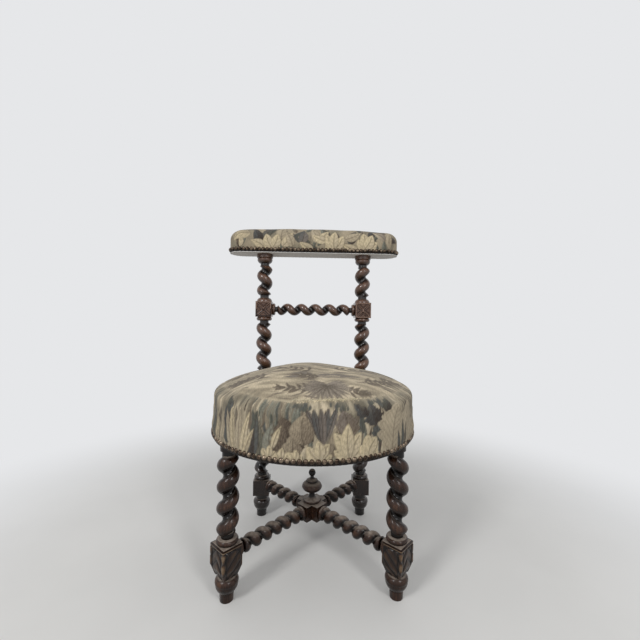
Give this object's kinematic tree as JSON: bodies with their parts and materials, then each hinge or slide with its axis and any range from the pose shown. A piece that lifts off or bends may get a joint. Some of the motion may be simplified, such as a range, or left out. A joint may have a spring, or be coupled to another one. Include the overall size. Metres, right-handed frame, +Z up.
{
  "type": "smoking chair",
  "caption": "Low round-seated smoking chair with a barley-twist wooden frame, crossed stretchers with a finial, and a tapestry seat and padded crest rail with domed nails.",
  "frame": {"origin": "on the floor under the centre of the round seat", "axes": "+Z up, -Y the way the sitter faces, +X to the right of someone who looks at the chair's front"},
  "size_m": [0.482, 0.4564, 0.803],
  "materials": {
    "polished_wood": "dark stained walnut, worn shellac polish",
    "frame_wood": "sawn beech, unfinished",
    "iron": "dull drawn iron",
    "webbing": "woven jute strap",
    "hessian": "coarse plain weave",
    "stuffing": "matted hair",
    "tapestry": "worn verdure tapestry, ribbed weave",
    "lining": "plain grey cotton",
    "nail_bronze": "antique bronzed"
  },
  "bodies": {
    "root": {"front_leg_left": "polished_wood", "front_leg_right": "polished_wood", "rear_post_left": "polished_wood", "rear_post_right": "polished_wood", "back_cross_rail": "polished_wood", "stretcher_over": "polished_wood", "stretcher_under": "polished_wood", "stretcher_finial": "polished_wood", "seat_ring_front_left": "frame_wood", "seat_ring_front_right": "frame_wood", "seat_ring_rear_left": "frame_wood", "seat_ring_rear_right": "frame_wood", "crest_board": "frame_wood", "ring_dowels": "frame_wood", "ring_bolts": "iron", "webbing_tacks": "iron", "seat_springs": "iron", "webbing_front_to_back": "webbing", "webbing_side_to_side": "webbing", "seat_hessian": "hessian", "seat_stuffing": "stuffing", "crest_stuffing": "stuffing", "seat_cover": "tapestry", "crest_cover": "tapestry", "crest_lining": "lining", "bottom_cloth": "lining", "seat_nails": "nail_bronze", "crest_nails": "nail_bronze"}
  },
  "joints": []
}
